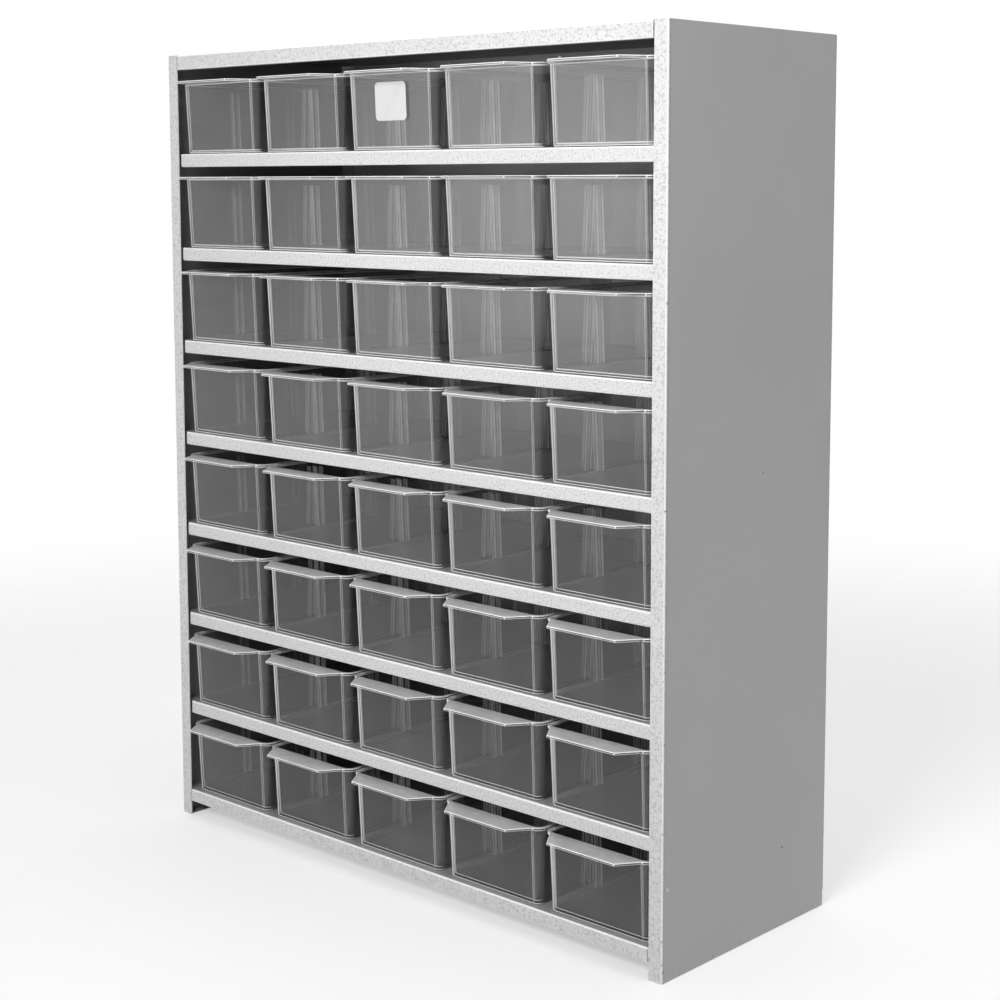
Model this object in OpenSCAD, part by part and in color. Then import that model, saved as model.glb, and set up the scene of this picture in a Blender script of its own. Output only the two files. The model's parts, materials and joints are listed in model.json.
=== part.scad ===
// Parts bin cabinet: an open-fronted sheet-steel carcass with rows of clear
// drawers that stand on plain shelves and slide straight out to the front.
// Millimetres. +Z is up and the drawers face -Y. The origin is on the floor,
// under the middle of the whole cabinet with its drawer pulls.

/* [Cabinet] */
// Overall width across the two side panels
cab_w = 610; // [480:5:800]
// Depth from the front flanges to the rear face of the back panel
cab_d = 228; // [180:1:320]
// Rows of drawers, one shelf to each
rows = 8; // [2:1:8]
// Drawers in each row
cols = 5; // [3:1:5]
// Height from one shelf to the next
row_pitch = 90; // [75:1:130]
// Clear height of the top bay, from its shelf to the lip of the top panel
top_bay_h = 80; // [65:1:130]
// Clear height under the lip of the bottom shelf
foot_h = 13.5; // [8:0.5:40]

/* [Sheet metal] */
// Thickness of the side panels, shelves and top panel
sheet_t = 1; // [0.7:0.1:1.6]
// Thickness of the back panel
back_t = 0.8; // [0.5:0.1:1.5]
// Outside radius of the folds
bend_r = 1.8; // [1.7:0.1:3]
// Width of the side panels' front flanges
flange_w = 13.5; // [10:0.5:20]
// Width of the side panels' rear flanges
rear_flange_w = 15; // [12:0.5:24]
// Width of the flange under each side panel that stands on the floor
foot_flange_w = 12; // [8:0.5:20]
// Height of the shelves' front lips
shelf_lip_h = 12.5; // [10:0.5:20]
// Height of the top panel's front lip
top_lip_h = 14; // [10:0.5:24]
// Depth of the hem turned back under each front lip
lip_hem_d = 7; // [5:0.5:12]
// Height of the tabs folded down at a shelf's ends and rear
tab_h = 11; // [8:0.5:16]
// Gap between a front lip's end and the side panel's flange
lip_gap = 1.2; // [0.4:0.1:3]
// Distance of the upper shelves' lips behind the front flanges; the bottom lip is flush
shelf_setback = 2.5; // [0:0.1:3]
// Clearance of a shelf's corners inside the side panels' folds
fold_gap = 0.3; // [0.2:0.1:1]

/* [Back panel rivets] */
// Rivets down each side of the back panel
side_rivets = 6; // [3:1:10]
// Rivets across the back panel at the top and the bottom
cross_rivets = 3; // [1:1:6]
// Shank diameter of a rivet
rivet_d = 3.2; // [2.4:0.2:4]
// Head diameter of a rivet
rivet_head_d = 6.4; // [5:0.2:8]
// Height of a rivet's domed head
rivet_head_h = 1.2; // [0.8:0.1:2]
// Diameter of the set end inside the cabinet
rivet_tail_d = 4.6; // [4.4:0.1:6]
// Length of the set end inside the cabinet
rivet_tail_h = 2; // [1:0.1:4]
// Gap between a rivet's shank and its hole
rivet_hole_gap = 0.1; // [0.05:0.05:0.3]

/* [Drawers] */
// Gap between an outer drawer's rim and the side panel's flange
side_gap = 0.5; // [0.3:0.1:3]
// Gap between the rims of two drawers
drawer_gap = 3; // [0.6:0.1:8]
// Gap between a drawer's rim and the lip above it
head_gap = 9.5; // [3:0.5:25]
// Distance of a drawer's front wall behind the front flanges
drawer_setback = 3.5; // [2:0.5:15]
// Gap between a drawer's rim and the back panel
rear_gap = 8; // [2:0.5:30]
// Thickness of the drawer walls
wall_t = 2; // [1.2:0.1:3]
// Thickness of the drawer floor
floor_t = 2; // [1.2:0.1:3]
// How far each wall leans in from rim to floor
draft = 3; // [1:0.5:5]
// Outside radius of the upright corners at the rim
corner_r = 9.5; // [8.5:0.5:14]
// How far the rim stands out from the walls
rim_out = 1.5; // [0.8:0.1:3]
// Thickness of the rim
rim_t = 2.4; // [1.5:0.1:4]

/* [Pull lip] */
// Reach of the pull lip in front of the front wall
pull_d = 20.5; // [12:0.5:30]
// Thickness of the pull lip
pull_t = 2.2; // [1.5:0.1:4]
// Distance of the pull lip's root from each side of the drawer
pull_inset = 5.5; // [3:0.5:12]
// How far each end of the pull lip slants in
pull_slant = 14.5; // [4:0.5:20]

/* [Divider slots] */
// Divider slots along each drawer
slots = 2; // [1:1:3]
// First slot's distance from the front wall
slot_first = 64; // [30:1:90]
// Distance from one slot to the next
slot_pitch = 70; // [30:1:80]
// Clear width of a slot between its two ribs
slot_w = 6; // [1.5:0.5:8]
// Width of a rib
rib_w = 1.2; // [0.8:0.1:2]
// How far a rib stands out from the wall
rib_d = 1.2; // [0.8:0.1:2]
// Height of the walls left clear above the ribs
rib_top_gap = 8; // [4:0.5:20]

/* [Label] */
// Row of the drawer that carries the label, counted from the top
label_row = 1; // [1:1:2]
// Column of the drawer that carries the label, counted from the left
label_col = 3; // [1:1:3]
// Width of the label
label_w = 38; // [20:1:60]
// Height of the label
label_h = 33; // [15:1:45]
// Thickness of the label
label_t = 0.2; // [0.1:0.1:0.5]
// Radius of the label's corners
label_r = 4; // [1:0.5:6]
// Height of the label's centre above the drawer's underside
label_z = 42; // [25:1:45]

/* [Hidden] */
$fn = 48;
// Reach of a cut past the face that it opens
cut = 1;

// Heights: the feet, the bottom lip, the shelves and the top bay make the cabinet
bottom_z = foot_h + shelf_lip_h;
cab_h = bottom_z + (rows - 1) * row_pitch + top_bay_h + top_lip_h;

// Depths: the pull lips stand out in front and the rivet heads behind, and the
// origin is midway between them
pull_over = max(0, pull_d - drawer_setback);
front_y = (pull_over - cab_d - rivet_head_h) / 2;
side_d = cab_d - back_t;
inner_r = bend_r - sheet_t;

// Widths: the drawers share the opening between the two front flanges
inner_w = cab_w - 2 * sheet_t;
opening_w = cab_w - 2 * flange_w;
lip_w = opening_w - 2 * lip_gap;
rim_w = (opening_w - 2 * side_gap - (cols - 1) * drawer_gap) / cols;
col_pitch = rim_w + drawer_gap;

// One drawer, measured over its walls at the rim
drawer_w = rim_w - 2 * rim_out;
drawer_d = side_d - drawer_setback - rear_gap - rim_out;
drawer_h = row_pitch - shelf_lip_h - head_gap;

// Rivets: the side rows run down the middle of the rear flanges
rivet_x = cab_w / 2 - (sheet_t + rear_flange_w) / 2;
rivet_end_gap = 25;
rear_tab_w = cab_w - 2 * (rear_flange_w + fold_gap);
hole_d = rivet_d + 2 * rivet_hole_gap;

function shelf_name(row) = row == rows ? "bottom_shelf" : str("shelf_", row);
function drawer_name(row, col) = str("drawer_r", row, "_c", col);
function shelf_z(row) = bottom_z + (rows - row) * row_pitch;
function col_x(col) = (col - (cols + 1) / 2) * col_pitch;
function lean(z) = draft * (1 - z / drawer_h);

// Heights of the side rivets, evenly spaced between the ends of the back panel
function side_rivet_z(i) = foot_h + rivet_end_gap
    + i * (cab_h - foot_h - 2 * rivet_end_gap) / (side_rivets - 1);
// Places across the back of the rivets in the top panel and the bottom shelf
function cross_rivet_x(i) = (i + 1) * rear_tab_w / (cross_rivets + 1) - rear_tab_w / 2;
// The rear tabs' mid heights, which those rivets pass through
cross_rivet_zs = [bottom_z - tab_h / 2, cab_h - tab_h / 2];

module rounded_rect(w, h, r) {
    translate([r, 0])
        square([w - 2 * r, h]);
    translate([0, r])
        square([w, h - 2 * r]);
    for (x = [r, w - r], y = [r, h - r])
        translate([x, y])
            circle(r);
}

// A folded strip seen end-on: a face of height h with the sheet turned back at
// both ends, near_d deep at the near end and far_d deep at the other
module folded_strip(h, near_d, far_d) {
    blank_d = 2 * max(near_d, far_d);
    difference() {
        rounded_rect(blank_d, h, bend_r);
        translate([sheet_t, sheet_t])
            rounded_rect(blank_d, h - 2 * sheet_t, inner_r);
        translate([near_d, -cut])
            square([blank_d, h / 2 + cut]);
        translate([far_d, h / 2])
            square([blank_d, h / 2 + cut]);
    }
}

module rivet_holes() {
    for (side = [-1, 1], i = [0:side_rivets - 1])
        translate([side * rivet_x, front_y + cab_d + cut, side_rivet_z(i)])
            rotate([90, 0, 0])
                cylinder(h = back_t + sheet_t + 2 * cut, d = hole_d);
    for (z = cross_rivet_zs, i = [0:cross_rivets - 1])
        translate([cross_rivet_x(i), front_y + cab_d + cut, z])
            rotate([90, 0, 0])
                cylinder(h = back_t + sheet_t + 2 * cut, d = hole_d);
}

// The left side panel: one sheet with a flange turned in at the front, the
// rear and the foot; the right one is its mirror image
module side_sheet() {
    foot_d = side_d - 2 * (bend_r + sheet_t);
    difference() {
        union() {
            translate([-cab_w / 2, front_y, 0])
                linear_extrude(cab_h)
                    folded_strip(side_d, flange_w, rear_flange_w);
            translate([-cab_w / 2, front_y + bend_r + sheet_t, 0])
                cube([foot_flange_w, foot_d, sheet_t]);
        }
        rivet_holes();
    }
}

module left_side_panel() {
    color("silver")
        side_sheet();
}

module right_side_panel() {
    color("silver")
        mirror([1, 0, 0])
            side_sheet();
}

// A shelf or the top panel, with its upper face at z = 0: a flat deck, a lip
// with a hem at the front, and tabs folded down at the ends and the rear
module shelf_sheet(lip_h, setback) {
    edge_y = sheet_t + inner_r + fold_gap;
    deck_y = setback + edge_y;
    deck_d = side_d - deck_y - edge_y;
    lip_deck_d = 2 * edge_y;
    translate([-lip_w / 2, setback, -lip_h])
        rotate([90, 0, 90])
            linear_extrude(lip_w)
                folded_strip(lip_h, lip_hem_d, lip_deck_d);
    translate([-inner_w / 2, deck_y, -sheet_t])
        cube([inner_w, deck_d, sheet_t]);
    for (side = [0, 1])
        mirror([side, 0, 0])
            translate([-inner_w / 2, deck_y + tab_h, -tab_h])
                cube([sheet_t, deck_d - 2 * tab_h, tab_h]);
    translate([-rear_tab_w / 2, side_d - 2 * edge_y, -sheet_t])
        cube([rear_tab_w, 2 * edge_y, sheet_t]);
    translate([-rear_tab_w / 2, side_d - sheet_t, -tab_h])
        cube([rear_tab_w, sheet_t, tab_h]);
}

module shelf(row) {
    color("silver")
        difference() {
            translate([0, front_y, shelf_z(row)])
                shelf_sheet(shelf_lip_h, row < rows ? shelf_setback : 0);
            rivet_holes();
        }
}

module top_panel() {
    color("silver")
        difference() {
            translate([0, front_y, cab_h])
                shelf_sheet(top_lip_h, 0);
            rivet_holes();
        }
}

// A flat sheet over the rear flanges, from the bottom lip to the top
module back_panel() {
    color("gainsboro")
        difference() {
            translate([-cab_w / 2 + bend_r / 2, front_y + side_d, foot_h])
                cube([cab_w - bend_r, back_t, cab_h - foot_h]);
            rivet_holes();
        }
}

// A pop rivet along +Y from the sheets' inner face: set end, shank, domed head
module rivet() {
    grip = back_t + sheet_t;
    dome_r = (pow(rivet_head_d / 2, 2) + pow(rivet_head_h, 2)) / (2 * rivet_head_h);
    rotate([-90, 0, 0]) {
        translate([0, 0, -rivet_tail_h])
            cylinder(h = rivet_tail_h, d = rivet_tail_d);
        cylinder(h = grip, d = rivet_d);
        translate([0, 0, grip])
            intersection() {
                cylinder(h = rivet_head_h, d = rivet_head_d);
                translate([0, 0, rivet_head_h - dome_r])
                    sphere(dome_r);
            }
    }
}

module back_rivets() {
    inner_y = front_y + side_d - sheet_t;
    color("lightgray") {
        for (side = [-1, 1], i = [0:side_rivets - 1])
            translate([side * rivet_x, inner_y, side_rivet_z(i)])
                rivet();
        for (z = cross_rivet_zs, i = [0:cross_rivets - 1])
            translate([cross_rivet_x(i), inner_y, z])
                rivet();
    }
}

// A block with upright rounded corners whose four sides lean in downwards.
// inset moves its sides in from the drawer's outer face; z0 and z1 are its ends
module leaning_block(inset, z0, z1) {
    w = drawer_w - 2 * inset;
    d = drawer_d - 2 * inset;
    r = corner_r - inset;
    for (x = [r - w / 2, w / 2 - r], y = [r, d - r])
        translate([x, inset + y, z0])
            cylinder(h = z1 - z0, r1 = r - lean(z0), r2 = r - lean(z1));
    translate([0, inset + d - r, 0])
        rotate([90, 0, 0])
            linear_extrude(d - 2 * r)
                polygon([
                    [lean(z0) - w / 2, z0],
                    [w / 2 - lean(z0), z0],
                    [w / 2 - lean(z1), z1],
                    [lean(z1) - w / 2, z1]]);
    translate([r - w / 2, inset, 0])
        rotate([90, 0, 90])
            linear_extrude(w - 2 * r)
                polygon([
                    [lean(z0), z0],
                    [d - lean(z0), z0],
                    [d - lean(z1), z1],
                    [lean(z1), z1]]);
}

// The pull lip: a flat tongue with slanted ends in front of the rim
module pull_lip() {
    root_x = drawer_w / 2 - pull_inset;
    tip_x = root_x - pull_slant;
    translate([0, 0, drawer_h - pull_t])
        linear_extrude(pull_t)
            polygon([
                [-root_x, wall_t / 2],
                [-root_x, -rim_out],
                [-tip_x, -pull_d],
                [tip_x, -pull_d],
                [root_x, -rim_out],
                [root_x, wall_t / 2]]);
}

// One rib on the left wall, leaning with it; y is the rib's front face
module wall_rib(y) {
    z0 = floor_t - cut / 2;
    z1 = drawer_h - rib_top_gap;
    inner_x = wall_t - drawer_w / 2;
    translate([0, y + rib_w, 0])
        rotate([90, 0, 0])
            linear_extrude(rib_w)
                polygon([
                    [inner_x + lean(z0) - wall_t / 2, z0],
                    [inner_x + lean(z0) + rib_d, z0],
                    [inner_x + lean(z1) + rib_d, z1],
                    [inner_x + lean(z1) - wall_t / 2, z1]]);
}

// One drawer about its own middle, with its front wall's top edge at y = 0
module drawer_body() {
    difference() {
        union() {
            leaning_block(0, 0, drawer_h);
            translate([-rim_w / 2, -rim_out, drawer_h - rim_t])
                linear_extrude(rim_t)
                    rounded_rect(rim_w, drawer_d + 2 * rim_out, corner_r + rim_out);
            pull_lip();
        }
        leaning_block(wall_t, floor_t, drawer_h + cut);
    }
    for (side = [0, 1], i = [0:slots - 1], rib_y = [-slot_w / 2 - rib_w, slot_w / 2])
        mirror([side, 0, 0])
            wall_rib(slot_first + i * slot_pitch + rib_y);
}

module drawer(row, col) {
    color("lightcyan", 0.5)
        translate([col_x(col), front_y + drawer_setback, shelf_z(row)])
            drawer_body();
}

// A blank label on the sloping front wall of one drawer
module label() {
    color("white")
        translate([col_x(label_col), front_y + drawer_setback + lean(label_z), shelf_z(label_row) + label_z])
            rotate([90 + atan(draft / drawer_h), 0, 0])
                linear_extrude(label_t)
                    translate([-label_w / 2, -label_h / 2])
                        rounded_rect(label_w, label_h, label_r);
}

left_side_panel();
right_side_panel();
top_panel();
for (row = [1:rows])
    shelf(row);
back_panel();
back_rivets();
for (row = [1:rows], col = [1:cols])
    drawer(row, col);
label();
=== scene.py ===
import json
import math

import bmesh
import bpy
from mathutils import Matrix, Vector

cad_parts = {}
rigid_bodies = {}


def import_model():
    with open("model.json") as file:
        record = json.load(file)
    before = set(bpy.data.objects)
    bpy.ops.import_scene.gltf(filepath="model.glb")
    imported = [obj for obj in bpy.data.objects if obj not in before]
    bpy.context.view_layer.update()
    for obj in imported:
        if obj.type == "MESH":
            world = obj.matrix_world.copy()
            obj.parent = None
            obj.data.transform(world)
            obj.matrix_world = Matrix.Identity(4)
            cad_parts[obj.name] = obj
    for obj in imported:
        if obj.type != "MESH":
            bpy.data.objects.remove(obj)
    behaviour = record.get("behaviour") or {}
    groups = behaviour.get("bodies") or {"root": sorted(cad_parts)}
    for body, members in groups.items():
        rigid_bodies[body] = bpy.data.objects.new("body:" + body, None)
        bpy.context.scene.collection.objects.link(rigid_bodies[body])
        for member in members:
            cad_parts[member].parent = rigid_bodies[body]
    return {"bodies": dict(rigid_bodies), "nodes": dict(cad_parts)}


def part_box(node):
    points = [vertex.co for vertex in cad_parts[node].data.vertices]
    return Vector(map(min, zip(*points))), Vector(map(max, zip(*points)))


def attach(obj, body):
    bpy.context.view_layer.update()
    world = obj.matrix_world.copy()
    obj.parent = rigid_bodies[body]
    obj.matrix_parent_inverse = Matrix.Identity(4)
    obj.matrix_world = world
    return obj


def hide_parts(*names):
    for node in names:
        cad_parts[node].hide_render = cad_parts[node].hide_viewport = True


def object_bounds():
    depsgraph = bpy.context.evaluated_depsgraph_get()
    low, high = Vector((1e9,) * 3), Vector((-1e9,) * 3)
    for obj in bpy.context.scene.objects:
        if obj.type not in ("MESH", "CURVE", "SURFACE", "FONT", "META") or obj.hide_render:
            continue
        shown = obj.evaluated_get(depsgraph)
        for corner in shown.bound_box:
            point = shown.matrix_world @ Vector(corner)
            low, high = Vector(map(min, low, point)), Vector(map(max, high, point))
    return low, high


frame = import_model()
cad_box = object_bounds()

# ---------------------------------------------------------------- camera
# The camera stands in front of the cabinet's right corner, at the height of the
# upper drawers. Its frame is shifted down a little, as a view camera's is, which
# keeps the upright edges nearly parallel.
EYE = Vector((1.1880, -1.2367, 0.6290))
TURN = math.radians(43.04)
TILT = math.radians(-6.14)
ROLL = math.radians(0.12)
FOCAL_PX = 1890.1
PICTURE_PX = 1000
SENSOR_MM = 36
HORIZON_SHIFT = -0.115

camera_data = bpy.data.cameras.new("camera")
camera_data.sensor_width = SENSOR_MM
camera_data.lens = FOCAL_PX * SENSOR_MM / PICTURE_PX
camera_data.shift_y = HORIZON_SHIFT
camera_data.clip_start = 0.05
camera_data.clip_end = 50
camera = bpy.data.objects.new("camera", camera_data)
camera.matrix_world = (
    Matrix.Translation(EYE)
    @ Matrix.Rotation(TURN, 4, "Z")
    @ Matrix.Rotation(TILT, 4, "X")
    @ Matrix.Rotation(ROLL, 4, "Y")
    @ Matrix.Rotation(math.pi / 2, 4, "X"))
scene = bpy.context.scene
scene.collection.objects.link(camera)
scene.camera = camera
scene.view_settings.view_transform = "Standard"
# A ray that looks through a row of clear drawers crosses a few dozen walls
scene.cycles.transparent_max_bounces = 48


# ---------------------------------------------------------------- studio
# A pale round floor that fades out into a white room. A gridded soft lamp stands
# in front on the right, a wide lamp hangs overhead and an even light comes from
# all sides. The clear drawers mirror two soft panels in front on the left.
AMBIENT = 0.17
FLOOR_R = 1.9
FLOOR_FADE_FROM = 0.65
FLOOR_FADE_TO = FLOOR_R * 0.98
FLOOR_COLOUR = (0.56, 0.56, 0.56, 1)
FLOOR_MOTTLE = (0.50, 0.50, 0.50, 1)
FLOOR_MOTTLE_SHARE = 0.25
FLOOR_MOTTLE_PER_M = 9
FLOOR_ROUGHNESS = 0.7
FLOOR_GLOW = 0.47
FLOOR_DROP = 0.0004


class Tap:
    """A socket in a node tree. Sums, products and powers of taps add Math nodes."""

    def __init__(self, tree, socket=None):
        self.tree = tree
        self.socket = socket

    def node(self, kind, settings, inputs, output=0):
        """Adds a node: first its settings, then the values or links of its sockets."""
        made = self.tree.nodes.new(kind)
        for name, value in settings.items():
            setattr(made, name, value)
        for name, value in inputs.items():
            if isinstance(value, Tap):
                self.tree.links.new(value.socket, made.inputs[name])
            else:
                made.inputs[name].default_value = value
        return Tap(self.tree, made.outputs[output] if made.outputs else None)

    def math(self, operation, *values):
        return self.node("ShaderNodeMath", {"operation": operation}, dict(enumerate(values)))

    def __add__(self, other):
        return self.math("ADD", self, other)

    __radd__ = __add__

    def __sub__(self, other):
        return self.math("SUBTRACT", self, other)

    def __rsub__(self, other):
        return self.math("SUBTRACT", other, self)

    def __mul__(self, other):
        return self.math("MULTIPLY", self, other)

    __rmul__ = __mul__

    def __truediv__(self, other):
        return self.math("DIVIDE", self, other)

    def __pow__(self, other):
        return self.math("POWER", self, other)

    def step(self, low, high):
        """0 below low, 1 above high and a smooth rise between them."""
        return self.node(
            "ShaderNodeMapRange",
            {"interpolation_type": "SMOOTHSTEP"},
            {"Value": self, "From Min": low, "From Max": high})

    def noise(self, place, scale, detail=2, roughness=0.5):
        """Noise of that many lumps to a metre."""
        return self.node(
            "ShaderNodeTexNoise", {},
            {"Vector": place, "Scale": scale, "Detail": detail, "Roughness": roughness})

    def blend(self, factor, first, second):
        """A colour between two others."""
        return self.node(
            "ShaderNodeMix", {"data_type": "RGBA"}, {0: factor, 6: first, 7: second}, 2)


def new_material(name):
    """An empty material, a tap on its tree and a point's place on the piece."""
    material = bpy.data.materials.new(name)
    material.use_nodes = True
    material.node_tree.nodes.clear()
    tap = Tap(material.node_tree)
    place = tap.node("ShaderNodeTexCoord", {}, {}, "Object")
    return material, tap, place


def output(shader):
    shader.node("ShaderNodeOutputMaterial", {}, {"Surface": shader})


def tidy_object(name, shape, materials):
    """Makes a bmesh into an object of the scene, at the origin."""
    mesh = bpy.data.meshes.new(name)
    shape.to_mesh(mesh)
    shape.free()
    for material in materials:
        mesh.materials.append(material)
    piece = bpy.data.objects.new(name, mesh)
    scene.collection.objects.link(piece)
    return piece


def seen_directly(tap):
    """1 for what the camera sees, also in gloss or through clear plastic, else 0."""
    rays = [
        tap.node("ShaderNodeLightPath", {}, {}, ray)
        for ray in ("Is Camera Ray", "Is Glossy Ray", "Is Transmission Ray")]
    return rays[0].math("MAXIMUM", rays[0], rays[1].math("MAXIMUM", rays[1], rays[2]))


def floor_material():
    """Paper that looks nearly white, but throws little light up at the cabinet."""
    material, tap, place = new_material("floor_paper")
    mottle = tap.noise(place, FLOOR_MOTTLE_PER_M, 3)
    glow = tap.blend(seen_directly(tap), (0, 0, 0, 1), (1, 1, 1, 1))
    pale = tap.node(
        "ShaderNodeBsdfPrincipled", {},
        {"Base Color": tap.blend(mottle * FLOOR_MOTTLE_SHARE, FLOOR_COLOUR, FLOOR_MOTTLE),
         "Roughness": FLOOR_ROUGHNESS, "Emission Color": glow, "Emission Strength": FLOOR_GLOW})
    away = place.node("ShaderNodeVectorMath", {"operation": "LENGTH"}, {0: place}, "Value")
    clear = tap.node("ShaderNodeBsdfTransparent", {}, {})
    fade = away.step(FLOOR_FADE_FROM, FLOOR_FADE_TO)
    output(tap.node("ShaderNodeMixShader", {}, {0: fade, 1: pale, 2: clear}))
    return material


def add_floor():
    shape = bmesh.new()
    bmesh.ops.create_circle(shape, cap_ends=True, segments=96, radius=FLOOR_R)
    bmesh.ops.translate(shape, vec=(0, 0, -FLOOR_DROP), verts=shape.verts)
    floor = tidy_object("floor", shape, [floor_material()])


def add_room():
    """The white room: white where it is seen, also in gloss, and an even light."""
    world = bpy.data.worlds.new("room")
    world.use_nodes = True
    world.node_tree.nodes.clear()
    tap = Tap(world.node_tree)
    light = tap.node(
        "ShaderNodeBackground", {},
        {"Color": (1, 1, 1, 1), "Strength": seen_directly(tap) * (1 - AMBIENT) + AMBIENT})
    tap.node("ShaderNodeOutputWorld", {}, {"Surface": light})
    scene.world = world


def add_lamp(name, place, aim, size, watts, spread=180):
    lamp_data = bpy.data.lights.new(name, "AREA")
    lamp_data.shape = "RECTANGLE"
    lamp_data.size = size[0]
    lamp_data.size_y = size[1]
    lamp_data.energy = watts
    lamp_data.spread = math.radians(spread)
    lamp = bpy.data.objects.new(name, lamp_data)
    lamp.location = place
    lamp.rotation_mode = "QUATERNION"
    lamp.rotation_quaternion = (Vector(aim) - Vector(place)).to_track_quat("-Z", "Y")
    lamp.visible_camera = False
    scene.collection.objects.link(lamp)


add_floor()
add_room()
add_lamp("front_lamp", (0.62, -1.7, 1.38), (0.3, -0.1, 0.7), (0.8, 0.5), 7.4, 80)
add_lamp("upper_panel", (-1.45, -2.1, 0.54), (0.1, -0.1, 0.6), (0.9, 0.74), 11.5)
add_lamp("lower_panel", (-0.97, -1.27, 0.2), (0.1, -0.1, 0.4), (0.7, 0.26), 0.9)
add_lamp("top_lamp", (0.2, 0.3, 3.6), (0, 0, 0), (2.6, 2.0), 52)


# ---------------------------------------------------------------- carcass
# Side panels, shelves, top and back: folded sheet steel, spot-welded and then
# sprayed in one light grey enamel that dries with a hammered grain, and chipped in
# a few places. Behind the folds it is painted darker as painted shade, the folds' edges carry a painted
# highlight, and the dark specks on the front are partly grain and partly painted shade of its relief.
PAINT = (0.66, 0.66, 0.66, 1)
PAINT_DARK = (0.57, 0.57, 0.57, 1)
# dark specks of the front: partly the hammered grain, partly painted shade of its relief
PAINT_SPECK_SHADE = (0.34, 0.34, 0.34, 1)
# the inside's darker tone is painted shade
PAINT_INSIDE_SHADE = (0.25, 0.25, 0.25, 1)
# the folds' pale tone is a painted highlight
PAINT_FOLD_HIGHLIGHT = (0.88, 0.88, 0.88, 1)
BARE_STEEL = (0.23, 0.225, 0.22, 1)
CHIP_PALE = (0.86, 0.86, 0.85, 1)
CLOUD_PER_M = 5
GRAIN_PER_M = 560
SPECK_PER_M = 1500
WEAR_PER_M = 160
SHADE_STREAK_STRETCH = (420, 14, 60)
HAMMER_DEPTH = 0.0006
THIN_DEPTH = 0.00006
SPECK_DEPTH = 0.00004
WELD_DEPTH = 0.0006
BARE_DEPTH = 0.0001
RELIEF_STRENGTH = 0.55
SHEET_T = 0.001
HALF_WIDTH = cad_box[1].x
TOP_Z = cad_box[1].z
FRONT_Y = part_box("left_side_panel")[0].y
BACK_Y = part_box("back_panel")[0].y
EDGE_BAND = 0.003
FOOT_BAND = 0.012
# Places of the marks: x, y, z of their middles and their radius
CHIP = ((HALF_WIDTH, FRONT_Y + 0.0065, 0.0753), 0.0022)
SCRATCH = ((HALF_WIDTH, FRONT_Y + 0.1634, 0.0684), 0.0016)
PIT = ((HALF_WIDTH, FRONT_Y + 0.129, 0.3925), 0.0009)
WELD_IN = 0.0079
WELD_UP = 0.0202
WELD_R = 0.0042


def near(tap, place, mark, soft):
    """1 at a mark and 0 away from it."""
    middle, radius = mark
    offset = tap.node("ShaderNodeVectorMath", {"operation": "DISTANCE"}, {0: place, 1: middle}, "Value")
    return 1 - offset.step(radius * (1 - soft), radius)


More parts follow.
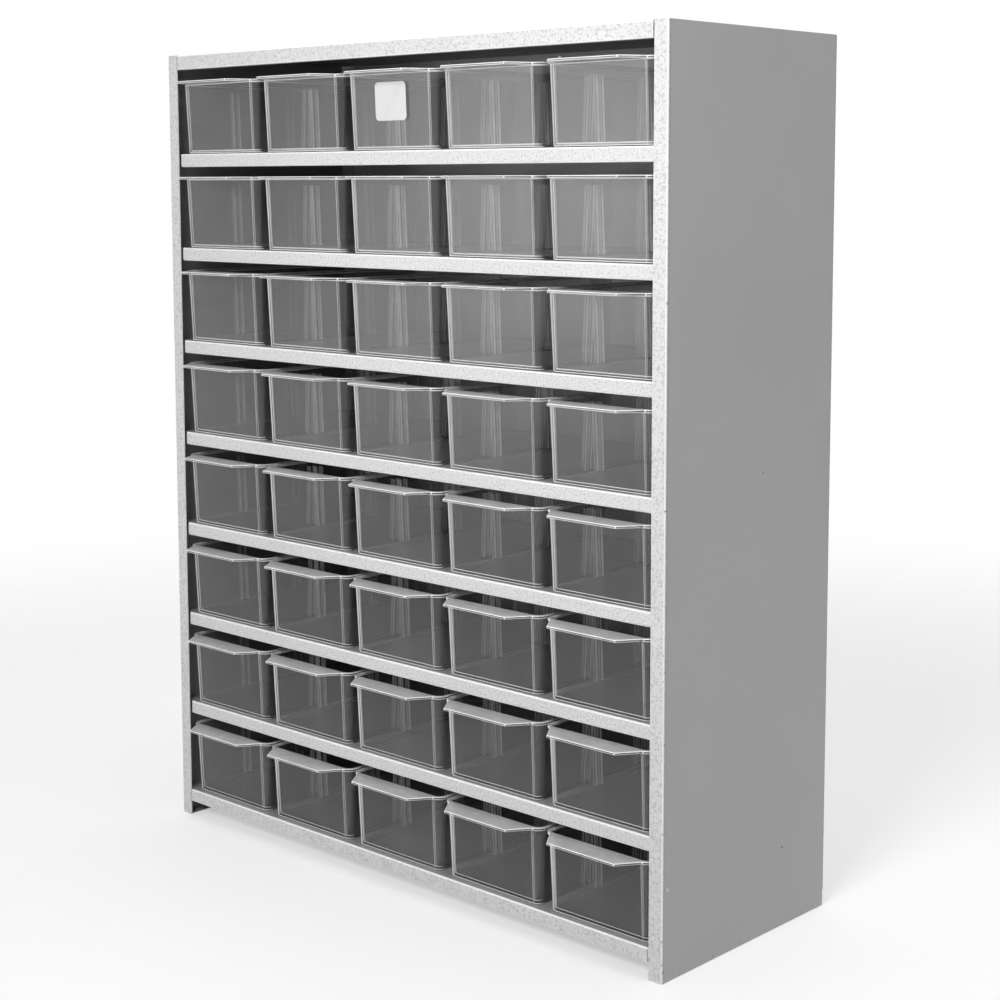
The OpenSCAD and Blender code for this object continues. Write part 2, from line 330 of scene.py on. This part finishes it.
def paint_material(name, fold_y):
    """The enamel of a piece whose front face lies at fold_y."""
    material, tap, place = new_material(name)
    axes = [
        tap.node("ShaderNodeSeparateXYZ", {}, {"Vector": place}, axis)
        for axis in ("X", "Y", "Z")]
    across = axes[0].math("ABSOLUTE", axes[0])
    cloud = tap.noise(place, CLOUD_PER_M, 3)
    grain = tap.noise(place, GRAIN_PER_M, 3, 0.6)
    speck = tap.noise(place, SPECK_PER_M, 1)

    # bare spots: only where the folds' edges or the feet meet a rare lump of noise
    front_fold = (1 - axes[1].step(FRONT_Y + SHEET_T, FRONT_Y + EDGE_BAND)) * across.step(
        HALF_WIDTH - EDGE_BAND, HALF_WIDTH - SHEET_T)
    foot = 1 - axes[2].step(SHEET_T, FOOT_BAND)
    chance = tap.noise(place, WEAR_PER_M, 4, 0.65)
    worn = chance.step(0.655, 0.675) * front_fold.math("MAXIMUM", front_fold, foot * 0.9)
    chip = near(tap, place, CHIP, 0.4)
    pit = near(tap, place, PIT, 0.3)
    scratch = near(tap, place, SCRATCH, 0.5)
    bare = worn.math("MAXIMUM", worn, pit.math("MAXIMUM", pit, scratch))

    # painted highlight: the folds' edges are painted pale; painted shade: what lies behind them is
    # painted darker
    behind = axes[1] - fold_y
    fold_highlight = behind.step(0.00003, 0.0002) * (1 - behind.step(SHEET_T * 0.9, SHEET_T * 1.3))
    # painted shade: everything behind the folds, short of the back, is painted darker, with streaks
    before_back = 1 - axes[1].step(BACK_Y - SHEET_T * 3, BACK_Y - SHEET_T)
    inside_shade_mask = behind.step(SHEET_T * 0.9, SHEET_T * 2.2) * before_back
    inside_shade_mask = inside_shade_mask * (1 - across.step(HALF_WIDTH - SHEET_T * 0.9, HALF_WIDTH - SHEET_T * 0.5))
    inside_shade_mask = inside_shade_mask * (1 - axes[2].step(TOP_Z - SHEET_T * 0.9, TOP_Z - SHEET_T * 0.5))
    shade_streaks = tap.node("ShaderNodeMapping", {}, {"Vector": place, "Scale": SHADE_STREAK_STRETCH})
    inside_shade = inside_shade_mask * (tap.noise(shade_streaks, 1, 3, 0.6) * 0.3 + 0.78)

    in_front = 1 - behind.step(SHEET_T, SHEET_T * 4)
    # dark specks on the front face only: the hammered grain, and partly painted shade of its relief
    # under the front light
    hammer_grain_and_shade = grain.step(0.46, 0.68) * in_front
    tone = tap.blend(cloud.step(0.3, 0.7) * 0.4 + speck.step(0.35, 0.7) * 0.3, PAINT, PAINT_DARK)
    tone = tap.blend(hammer_grain_and_shade * 0.7, tone, PAINT_SPECK_SHADE)
    # painted shade inside, painted highlight along the folds' edges
    tone = tap.blend(fold_highlight, tap.blend(inside_shade, tone, PAINT_INSIDE_SHADE), PAINT_FOLD_HIGHLIGHT)
    colour = tap.blend(chip, tap.blend(bare, tone, BARE_STEEL), CHIP_PALE)
    gloss = grain * 0.16 + cloud * 0.08 + 0.3
    weld_x = across - (HALF_WIDTH - WELD_IN)
    weld_z = axes[2] - WELD_UP
    weld_off = (weld_x * weld_x + weld_z * weld_z) ** 0.5
    on_front = 1 - axes[1].step(FRONT_Y + SHEET_T, FRONT_Y + SHEET_T * 2)
    weld = (1 - weld_off.step(WELD_R * 0.4, WELD_R)) * on_front
    relief = grain * (in_front * HAMMER_DEPTH + THIN_DEPTH) + speck * SPECK_DEPTH
    relief = relief - weld * WELD_DEPTH - bare * BARE_DEPTH
    bump = tap.node(
        "ShaderNodeBump", {}, {"Strength": RELIEF_STRENGTH, "Distance": 1.0, "Height": relief})
    output(tap.node(
        "ShaderNodeBsdfPrincipled", {},
        {"Base Color": colour, "Roughness": gloss, "Metallic": bare * 0.8, "Normal": bump}))
    return material


def dress(node, material):
    """Gives a piece of the frame its finish."""
    slots = frame["nodes"][node].material_slots
    if not slots:
        frame["nodes"][node].data.materials.append(material)
    for slot in slots:
        slot.material = material


paint = paint_material("carcass_paint", FRONT_Y)
inner_paint = paint_material("inner_shelf_paint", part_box("shelf_1")[0].y)
for node in frame["nodes"]:
    if node.endswith("_panel") or node == "bottom_shelf":
        dress(node, paint)
    elif node.startswith("shelf_"):
        dress(node, inner_paint)


# ---------------------------------------------------------------- back rivets
# Aluminium pop rivets hold the back panel to the folds behind it. Their domed
# heads are bright, faintly turned and dull where dust has settled.
RIVET_METAL = (0.78, 0.79, 0.80, 1)
RIVET_DULL = (0.52, 0.52, 0.53, 1)
RIVET_DUST_PER_M = 900
RIVET_TURNED_PER_M = 3500


def rivet_material():
    material, tap, place = new_material("rivet_metal")
    dust = tap.noise(place, RIVET_DUST_PER_M, 4, 0.7)
    turned = tap.noise(place, RIVET_TURNED_PER_M, 1)
    bump = tap.node("ShaderNodeBump", {}, {"Strength": 0.3, "Distance": 0.00005, "Height": turned})
    output(tap.node(
        "ShaderNodeBsdfPrincipled", {},
        {"Base Color": tap.blend(dust.step(0.4, 0.7), RIVET_METAL, RIVET_DULL),
         "Metallic": 1.0 - 0.3 * dust, "Roughness": dust * 0.3 + 0.22, "Normal": bump}))
    return material


dress("back_rivets", rivet_material())


# ---------------------------------------------------------------- drawers
# Each drawer is one moulding in clear polystyrene: a tub whose walls lean in
# towards the floor, with round corners, a rim, a pull lip and pairs of ribs for
# dividers. It lies loose on its shelf. All forty come from the same mould.
PULL_REACH = 0.0205
PULL_TIP_X = 0.0355
PULL_ROOT_X = 0.0505
PULL_T = 0.0022
RIM_OUT = 0.0015
RIM_T = 0.0024
WALL_T = 0.002
FLOOR_T = 0.002
DRAFT = 0.003
CORNER_R = 0.0095
CORNER_STEPS = 12
EDGE_R = 0.0006
FOOT_R = 0.0015
SLOT_MIDDLES = (0.064, 0.134)
SLOT_W = 0.006
RIB_W = 0.0012
RIB_D = 0.0012
RIB_TOP_GAP = 0.008
RIB_FOOT_GAP = 0.0003
SEAM = 0.13
PLASTIC_TINT = (0.90, 0.90, 0.90, 1)
PLASTIC_HAZE = (0.93, 0.93, 0.93, 1)
PLASTIC_ROUGHNESS = 0.27
HEAD_ON_MIRROR = 0.035
DUST_PER_M = 55
FLECK_PER_M = 1100
SCUFF_STRETCH = (260, 260, 9)
RIPPLE_PER_M = 30
# a darker tint for the feet along the side and back walls: painted shade
CREASE_SHADE_TINT = (0.55, 0.55, 0.55, 1)
WALL, EDGE, BEND, THICK, GRIP, CREASE = range(6)


def flat_face(shape, axis, sign, height=None):
    """The largest face that looks along an axis, at that height if one is given."""
    found = [
        face for face in shape.faces
        if face.normal[axis] * sign > 0.9
        and (height is None or abs(face.calc_center_median()[2] - height) < 1e-5)]
    return max(found, key=lambda face: face.calc_area())


def round_over(shape, edges, radius, steps, lowest=-1.1):
    """Rounds edges over; the new faces that look higher than lowest get a painted highlight."""
    made = bmesh.ops.bevel(
        shape, geom=edges, affect="EDGES", offset=radius, segments=steps,
        profile=0.5, material=-1, clamp_overlap=True)
    for face in made["faces"]:
        face.normal_update()
        face.smooth = True
        face.material_index = EDGE if face.normal.z > lowest else WALL


def add_rib(shape, side, front, height):
    """Raises a rib from the inner face of one side wall, between two cuts."""
    def wall_faces():
        return [
            face for face in shape.faces
            if face.normal.x * side < -0.9 and face.calc_area() > 1e-6
            and abs(face.calc_center_median().x) < inner_x]

    inner_x = max(vert.co.x for vert in shape.verts) - RIM_OUT - WALL_T / 2
    cuts = (
        (Vector((0, front, 0)), Vector((0, 1, 0))),
        (Vector((0, front + RIB_W, 0)), Vector((0, 1, 0))))
    for middle, across in cuts:
        faces = wall_faces()
        edges = {edge for face in faces for edge in face.edges}
        corners = {vert for face in faces for vert in face.verts}
        bmesh.ops.bisect_plane(
            shape, geom=faces + list(edges) + list(corners), plane_co=middle, plane_no=across)
    strip = [
        face for face in wall_faces()
        if front < face.calc_center_median().y < front + RIB_W]
    for z in (FLOOR_T + RIB_FOOT_GAP, height - RIB_TOP_GAP):
        edges = {edge for face in strip for edge in face.edges}
        corners = {vert for face in strip for vert in face.verts}
        bmesh.ops.bisect_plane(
            shape, geom=strip + list(edges) + list(corners),
            plane_co=Vector((0, 0, z)), plane_no=Vector((0, 0, 1)))
        strip = [
            face for face in wall_faces()
            if front < face.calc_center_median().y < front + RIB_W]
    rib = [
        face for face in strip
        if FLOOR_T + RIB_FOOT_GAP < face.calc_center_median().z < height - RIB_TOP_GAP]
    inwards = rib[0].normal.copy()
    made = bmesh.ops.extrude_face_region(shape, geom=rib)
    raised = [part for part in made["geom"] if isinstance(part, bmesh.types.BMVert)]
    # the rib's faces take the thick material, a painted highlight
    for vert in raised:
        for face in vert.link_faces:
            face.material_index = THICK
    bmesh.ops.translate(shape, vec=inwards * RIB_D, verts=raised)
    bmesh.ops.delete(shape, geom=[face for face in rib if face.is_valid], context="FACES")


def drawer_shape(rim_w, rim_d, height):
    """One drawer about its middle, with its front wall's top edge at y = 0."""
    shape = bmesh.new()
    bmesh.ops.create_cube(shape, size=1)
    bmesh.ops.scale(shape, vec=(rim_w, rim_d, RIM_T), verts=shape.verts)
    bmesh.ops.translate(
        shape, vec=(0, rim_d / 2 - RIM_OUT, height - RIM_T / 2), verts=shape.verts)
    uprights = [
        edge for edge in shape.edges
        if abs(edge.verts[0].co.z - edge.verts[1].co.z) > RIM_T / 2]
    bmesh.ops.bevel(
        shape, geom=uprights, affect="EDGES", offset=CORNER_R + RIM_OUT,
        segments=CORNER_STEPS, profile=0.5, material=-1)

    # the pull lip grows out of the rim's front and narrows towards its tip
    shape.normal_update()
    root = [
        face for face in shape.faces
        if face.normal.y < -0.3 and abs(face.calc_center_median().x) < PULL_ROOT_X - 0.001]
    made = bmesh.ops.extrude_face_region(shape, geom=root)
    tip = [part for part in made["geom"] if isinstance(part, bmesh.types.BMVert)]
    narrow = PULL_TIP_X / max(vert.co.x for vert in tip)
    for vert in tip:
        vert.co.x *= narrow
        vert.co.y = -PULL_REACH
        vert.co.z = max(vert.co.z, height - PULL_T)
    bmesh.ops.delete(shape, geom=[face for face in root if face.is_valid], context="FACES")

    # the outer walls go down from the rim's underside, the inner ones from its top
    shape.normal_update()
    under = flat_face(shape, 2, -1, height - RIM_T)
    bmesh.ops.inset_region(
        shape, faces=[under], thickness=RIM_OUT, use_even_offset=True, use_boundary=True)
    bmesh.ops.inset_region(
        shape, faces=[under], thickness=DRAFT, depth=height - RIM_T,
        use_even_offset=True, use_boundary=True)
    shape.normal_update()
    over = flat_face(shape, 2, 1, height)
    bmesh.ops.inset_region(
        shape, faces=[over], thickness=RIM_OUT + WALL_T, use_even_offset=True, use_boundary=True)
    bmesh.ops.inset_region(
        shape, faces=[over], thickness=DRAFT * (height - FLOOR_T) / height,
        depth=FLOOR_T - height, use_even_offset=True, use_boundary=True)
    shape.normal_update()
    # round corners get a painted highlight: bend where they turn away, thick next to the flat walls
    for face in shape.faces:
        upright = abs(face.normal.z) < 0.5
        turned = abs(face.normal.x)
        face.smooth = upright and 0.05 < turned < 0.995
        if face.smooth:
            face.material_index = BEND if SEAM < turned < math.sqrt(1 - SEAM ** 2) else THICK
        if face.normal.z > 0.9 and face.calc_center_median().z > height - RIM_T:
            face.material_index = GRIP

    low_edges = [
        edge for edge in shape.edges
        if all(vert.co.z < FLOOR_T + EDGE_R for vert in edge.verts)]
    round_over(shape, low_edges, FOOT_R, 3, -0.4)
    shape.normal_update()

    # only the front foot keeps the edge material, a painted highlight; along the other walls it gets
    # the crease material, painted shade
    for face in shape.faces:
        if face.material_index == EDGE and face.calc_center_median().y > CORNER_R + DRAFT:
            face.material_index = CREASE
    sharp = [
        edge for edge in shape.edges
        if edge.is_manifold and edge.calc_face_angle() > 0.6
        and all(vert.co.z > height - RIM_T - EDGE_R for vert in edge.verts)]
    round_over(shape, sharp, EDGE_R, 2)
    shape.normal_update()

    for side in (-1, 1):
        for middle in SLOT_MIDDLES:
            for front in (middle - SLOT_W / 2 - RIB_W, middle + SLOT_W / 2):
                add_rib(shape, side, front, height)
                shape.normal_update()
    bmesh.ops.recalc_face_normals(shape, faces=shape.faces)
    return shape


def plastic_material(name, haze_and_highlight, bend_highlight=0.0, tint=PLASTIC_TINT):
    """Clear plastic: it mirrors more towards its edges, under a thin white haze.

    bend_highlight is a painted highlight that a round corner gets where it turns away,
    and tint what is left of the light that passes through. haze_and_highlight is real haze on plain
    walls and the pull, and a painted highlight on edges and edge-on faces.
    """
    material, tap, place = new_material(name)
    facing = tap.node("ShaderNodeLayerWeight", {}, {"Blend": 0.5}, "Facing")
    mirror = facing ** 5 * (1 - HEAD_ON_MIRROR) + HEAD_ON_MIRROR
    dust = tap.noise(place, DUST_PER_M, 4, 0.6)
    flecks = tap.noise(place, FLECK_PER_M, 2).step(0.72, 0.78)
    streak = tap.node(
        "ShaderNodeMapping", {}, {"Vector": place, "Scale": SCUFF_STRETCH})
    scuffs = tap.noise(streak, 1, 3, 0.7).step(0.62, 0.75)
    veil_and_highlight = dust.step(0.35, 0.75) * (haze_and_highlight * 0.3) + flecks * 0.2 + scuffs * 0.012 + haze_and_highlight
    if bend_highlight:
        veil_and_highlight = veil_and_highlight + facing ** 3 * bend_highlight
    share = mirror + veil_and_highlight
    share = share.math("MINIMUM", share, 1.0)
    moulded = tap.noise(place, RIPPLE_PER_M, 2)
    ripple = tap.node(
        "ShaderNodeBump", {}, {"Strength": 0.25, "Distance": 0.0006, "Height": moulded})
    solid = tap.node(
        "ShaderNodeBsdfPrincipled", {},
        {"Base Color": PLASTIC_HAZE, "Metallic": mirror / share,
         "Roughness": dust * 0.06 + scuffs * 0.15 + PLASTIC_ROUGHNESS, "Normal": ripple})
    clear = tap.node("ShaderNodeBsdfTransparent", {}, {"Color": tint})
    output(tap.node("ShaderNodeMixShader", {}, {0: share, 1: clear, 2: solid}))
    return material


# edge, bend and thick hazes are painted highlights; the crease tint is painted shade
clear_plastics = [
    plastic_material("clear_wall", 0.006),
    plastic_material("clear_edge_highlight", 0.85),
    plastic_material("clear_bend_highlight", 0.01, 2.4),
    plastic_material("clear_thick_highlight", 0.24),
    plastic_material("clear_grip", 0.44),
    plastic_material("clear_crease_shade", 0.10, tint=CREASE_SHADE_TINT)]

drawer_bodies = [body for body in frame["bodies"] if body.startswith("drawer_")]
low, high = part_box(drawer_bodies[0])
moulding = drawer_shape(high.x - low.x, high.y - low.y - PULL_REACH + RIM_OUT, high.z - low.z)
for body in drawer_bodies:
    low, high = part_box(body)
    shape = moulding.copy()
    bmesh.ops.translate(
        shape, vec=((low.x + high.x) / 2, low.y + PULL_REACH, low.z), verts=shape.verts)
    drawer = tidy_object(body.replace("drawer_", "clear_drawer_"), shape, clear_plastics)
    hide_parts(body)
    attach(drawer, body)
moulding.free()


# ---------------------------------------------------------------- label
# One white paper sticker with round corners on the front wall of the middle
# drawer of the top row. It is blank, with faint darker stains.
LABEL_WHITE = (0.62, 0.62, 0.62, 1)
LABEL_EDGE = (0.54, 0.54, 0.53, 1)
FIBRE_PER_M = 2200
STAIN_PER_M = 70


def label_material():
    material, tap, place = new_material("label_paper")
    fibre = tap.noise(place, FIBRE_PER_M, 3, 0.7)
    stain = tap.noise(place, STAIN_PER_M, 3)
    bump = tap.node("ShaderNodeBump", {}, {"Strength": 0.3, "Distance": 0.00004, "Height": fibre})
    output(tap.node(
        "ShaderNodeBsdfPrincipled", {},
        {"Base Color": tap.blend(stain.step(0.45, 0.8) * 0.5, LABEL_WHITE, LABEL_EDGE),
         "Roughness": fibre * 0.2 + 0.45, "Normal": bump}))
    return material


dress("label", label_material())
